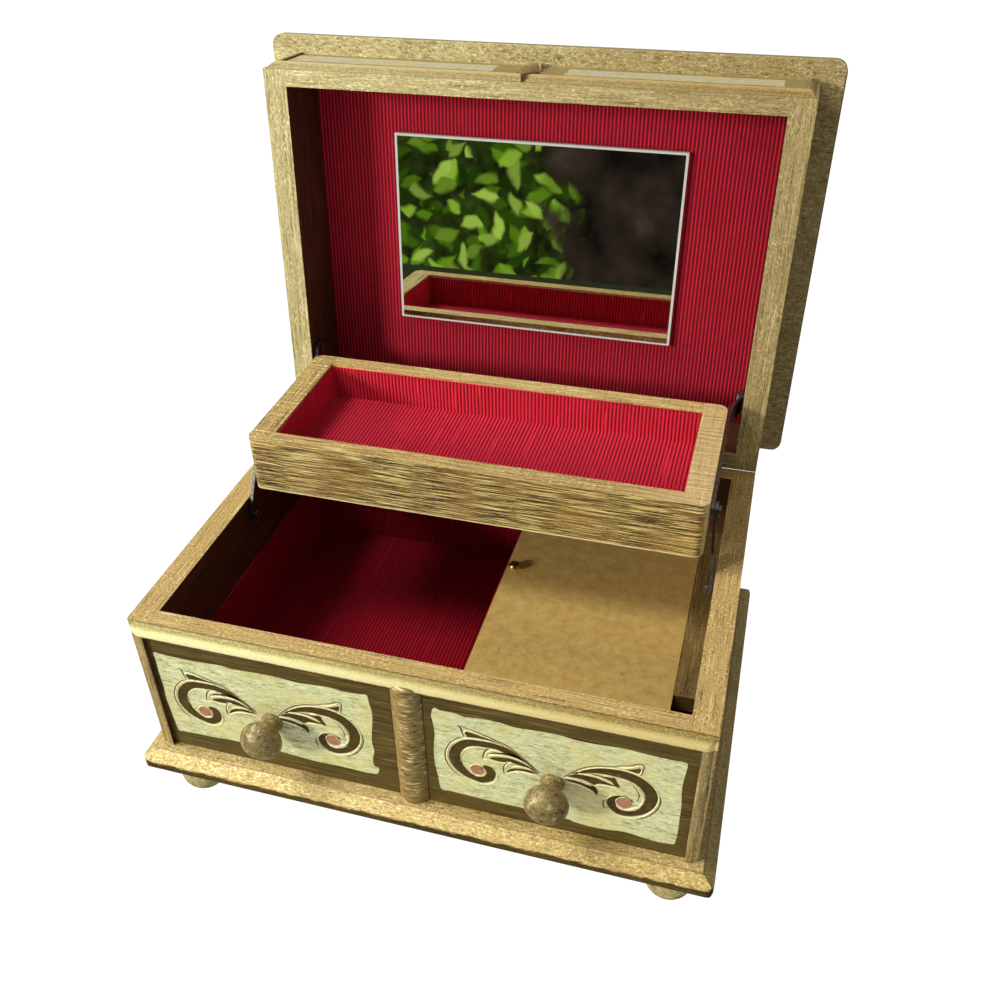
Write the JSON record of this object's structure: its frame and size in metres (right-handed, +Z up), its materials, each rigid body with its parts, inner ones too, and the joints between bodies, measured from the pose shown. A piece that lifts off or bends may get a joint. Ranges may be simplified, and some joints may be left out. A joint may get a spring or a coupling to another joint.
{
  "type": "musical jewellery box",
  "caption": "Wooden musical dressing and jewellery box with mock drawers, round feet, a hinged mirror lid and a lined tray that lifts as the lid opens.",
  "frame": {"origin": "on the table under the middle of the opened box's bounding box", "axes": "+X to the right as seen from the front, +Y to the back, +Z up"},
  "size_m": [0.239, 0.222, 0.2622],
  "materials": {
    "wood": "satin gold-painted carved wood with brown glaze in the hollows",
    "plinth_wood": "satin pale yellow-gold painted wood",
    "bare_wood": "bare or thinly stained wood, matt",
    "field": "pale green painted ground with brown scroll ornament, satin",
    "knob": "turned wood, mottled bronze-gold paint, satin",
    "cloth": "red corduroy, fine ribs, matt",
    "cover": "fibreboard sprayed gold, speckled, matt",
    "mirror": "silvered glass, polished",
    "steel": "plated steel strip, dull shine",
    "brass": "brass, slightly dulled"
  },
  "bodies": {
    "case": {"left_wall": "wood", "right_wall": "wood", "front_wall": "wood", "back_wall": "wood", "bottom_board": "bare_wood", "plinth": "plinth_wood", "left_front_panel": "field", "right_front_panel": "field", "front_divider": "wood", "left_knob": "knob", "right_knob": "knob", "front_left_foot": "plinth_wood", "front_right_foot": "plinth_wood", "back_left_foot": "plinth_wood", "back_right_foot": "plinth_wood", "partition": "bare_wood", "left_lining": "cloth", "right_lining": "cloth", "cover_board": "cover", "cover_screws": "brass", "cover_strip": "bare_wood", "case_hinge_leaves": "brass", "hinge_pins": "steel", "case_hinge_screws": "brass", "wall_pivots": "steel", "movement_bed": "brass", "barrel_cover": "brass", "mainspring": "steel", "comb": "steel", "comb_screws": "steel", "bed_screws": "steel", "governor_bracket": "brass"},
    "lid": {"lid_hinge_leaves": "brass", "lid_hinge_screws": "brass", "lid_left_rail": "wood", "lid_right_rail": "wood", "lid_front_rail": "wood", "lid_back_rail": "wood", "lid_board": "plinth_wood", "lid_left_panel": "field", "lid_right_panel": "field", "lid_divider": "wood", "lid_field": "field", "lid_lining": "cloth", "mirror_glass": "mirror", "lid_pivots": "steel"},
    "tray": {"tray_left_side": "wood", "tray_right_side": "wood", "tray_front": "wood", "tray_back": "wood", "tray_floor": "bare_wood", "tray_lining": "cloth", "tray_bars": "steel"},
    "arm_left": {"left_arm": "steel"},
    "arm_right": {"right_arm": "steel"},
    "key": {"winding_arbor": "steel", "winding_key": "brass"},
    "cylinder": {"pinned_cylinder": "brass"},
    "delay": {"delay_wheel": "brass"},
    "governor": {"governor_fan": "steel"}
  },
  "joints": [
    {"name": "lid_hinge", "type": "hinge", "parent": "case", "child": "lid", "pos_m": [0, 0.0606, 0.1006], "axis": [1, 0, 0], "range_deg": [0, 94.5]},
    {"name": "tray_hinge", "type": "hinge", "parent": "lid", "child": "tray", "pos_m": [0, 0.07179, 0.13062], "axis": [1, 0, 0], "range_deg": [-94.5, 0]},
    {"name": "arm_left_pivot", "type": "hinge", "parent": "case", "child": "arm_left", "pos_m": [-0.0988, -0.0128, 0.0918], "axis": [1, 0, 0], "range_deg": [0, 94.5]},
    {"name": "arm_right_pivot", "type": "hinge", "parent": "case", "child": "arm_right", "pos_m": [0.0988, -0.0128, 0.0918], "axis": [1, 0, 0], "range_deg": [0, 94.5]},
    {"name": "key_turn", "type": "hinge", "parent": "case", "child": "key", "pos_m": [0.0343, -0.0144, 0.022], "axis": [0, 0, 1], "continuous": true},
    {"name": "cylinder_turn", "type": "hinge", "parent": "case", "child": "cylinder", "pos_m": [0.063, -0.0144, 0.0487], "axis": [1, 0, 0], "continuous": true},
    {"name": "delay_turn", "type": "hinge", "parent": "case", "child": "delay", "pos_m": [0.0783, -0.0244, 0.0487], "axis": [1, 0, 0], "continuous": true},
    {"name": "governor_turn", "type": "hinge", "parent": "case", "child": "governor", "pos_m": [0.0836, -0.0299, 0.0487], "axis": [0, 0, 1], "continuous": true}
  ],
  "couplings": [
    {"joint": "tray_hinge", "follows": "lid_hinge", "ratio": -1},
    {"joint": "arm_left_pivot", "follows": "lid_hinge", "ratio": 1},
    {"joint": "arm_right_pivot", "follows": "lid_hinge", "ratio": 1},
    {"joint": "delay_turn", "follows": "cylinder_turn", "ratio": -4},
    {"joint": "governor_turn", "follows": "cylinder_turn", "ratio": 20}
  ]
}
